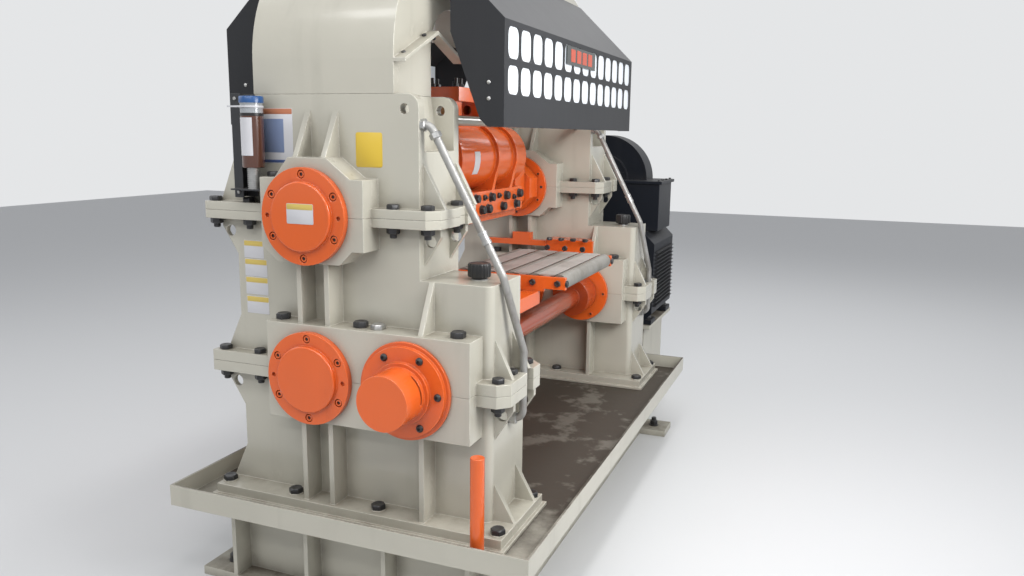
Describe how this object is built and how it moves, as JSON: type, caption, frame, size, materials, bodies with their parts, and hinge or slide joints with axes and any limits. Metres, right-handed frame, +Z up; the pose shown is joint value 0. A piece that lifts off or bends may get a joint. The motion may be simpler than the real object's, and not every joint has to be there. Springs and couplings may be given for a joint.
{
  "type": "rotary flying shear",
  "caption": "Rotary flying shear for strip: gear housings on a ribbed base with drip tray, geared cranks with knife beams, roller table, portal cover and hoods.",
  "frame": {"origin": "centre of the base frame footprint on the floor", "axes": "+X along the strip line, +Y from the operator side to the drive side, +Z up"},
  "size_m": [1.298, 2.933, 2.155],
  "materials": {
    "housing_paint": "gloss",
    "orange_paint": "gloss",
    "tray_paint": "satin, oil stained",
    "hood_paint": "satin",
    "motor_paint": "satin",
    "bright_steel": "satin",
    "knife_steel": "ground",
    "panel_white": "gloss",
    "black_plastic": "matt",
    "oil_glass": "gloss",
    "black_steel": "satin"
  },
  "bodies": {
    "frame": {"base_frame": "housing_paint", "breathers": "black_plastic", "cup_bracket": "black_steel", "drip_tray": "tray_paint", "far_caps": "orange_paint", "far_lower_case": "housing_paint", "far_middle_case": "housing_paint", "far_rings": "orange_paint", "far_upper_case": "housing_paint", "guard_post": "orange_paint", "left_hood": "hood_paint", "motor_blower": "motor_paint", "motor_frame": "motor_paint", "motor_pedestal": "housing_paint", "near_drive_cap": "orange_paint", "near_lower_cap": "orange_paint", "near_lower_case": "housing_paint", "near_middle_case": "housing_paint", "near_rings": "orange_paint", "near_upper_cap": "orange_paint", "near_upper_case": "housing_paint", "oil_cup": "oil_glass", "oil_pipes": "bright_steel", "right_hood": "hood_paint", "table_bracket": "orange_paint", "table_frame": "orange_paint", "tie_tube": "housing_paint", "top_cover": "housing_paint", "window_panels": "panel_white"},
    "upper_cranks": {"near_upper_crank": "orange_paint", "far_upper_crank": "orange_paint"},
    "upper_knife_beam": {"upper_beam": "orange_paint", "upper_knife": "knife_steel", "upper_guide_bearing": "orange_paint"},
    "lower_cranks": {"near_lower_crank": "orange_paint", "far_lower_crank": "orange_paint"},
    "lower_knife_beam": {"lower_beam": "orange_paint", "lower_knife": "knife_steel", "lower_guide_bearing": "orange_paint"},
    "drive": {"drive_shaft": "orange_paint"},
    "roller_1": {"table_roller_1": "bright_steel"},
    "roller_2": {"table_roller_2": "bright_steel"},
    "roller_3": {"table_roller_3": "bright_steel"},
    "roller_4": {"table_roller_4": "bright_steel"},
    "roller_5": {"table_roller_5": "bright_steel"}
  },
  "joints": [
    {"name": "upper_cranks_turn", "type": "hinge", "parent": "frame", "child": "upper_cranks", "pos_m": [-0.138, 0, 1.27], "axis": [0, 1, 0], "continuous": true},
    {"name": "upper_beam_pin", "type": "hinge", "parent": "upper_cranks", "child": "upper_knife_beam", "pos_m": [-0.138, 0, 1.325], "axis": [0, 1, 0], "continuous": true},
    {"name": "lower_cranks_turn", "type": "hinge", "parent": "frame", "child": "lower_cranks", "pos_m": [-0.138, 0, 0.765], "axis": [0, 1, 0], "continuous": true},
    {"name": "lower_beam_pin", "type": "hinge", "parent": "lower_cranks", "child": "lower_knife_beam", "pos_m": [-0.138, 0, 0.71], "axis": [0, 1, 0], "continuous": true},
    {"name": "drive_shaft_turn", "type": "hinge", "parent": "frame", "child": "drive", "pos_m": [0.198, 0, 0.765], "axis": [0, 1, 0], "continuous": true},
    {"name": "roller_1_turn", "type": "hinge", "parent": "frame", "child": "roller_1", "pos_m": [0.032, 0, 0.9865], "axis": [0, 1, 0], "continuous": true},
    {"name": "roller_2_turn", "type": "hinge", "parent": "frame", "child": "roller_2", "pos_m": [0.129, 0, 0.9865], "axis": [0, 1, 0], "continuous": true},
    {"name": "roller_3_turn", "type": "hinge", "parent": "frame", "child": "roller_3", "pos_m": [0.226, 0, 0.9865], "axis": [0, 1, 0], "continuous": true},
    {"name": "roller_4_turn", "type": "hinge", "parent": "frame", "child": "roller_4", "pos_m": [0.323, 0, 0.9865], "axis": [0, 1, 0], "continuous": true},
    {"name": "roller_5_turn", "type": "hinge", "parent": "frame", "child": "roller_5", "pos_m": [0.42, 0, 0.9865], "axis": [0, 1, 0], "continuous": true}
  ],
  "couplings": [
    {"joint": "upper_beam_pin", "follows": "upper_cranks_turn", "ratio": -1},
    {"joint": "lower_cranks_turn", "follows": "upper_cranks_turn", "ratio": -1},
    {"joint": "lower_beam_pin", "follows": "upper_cranks_turn", "ratio": 1},
    {"joint": "drive_shaft_turn", "follows": "upper_cranks_turn", "ratio": 3}
  ]
}
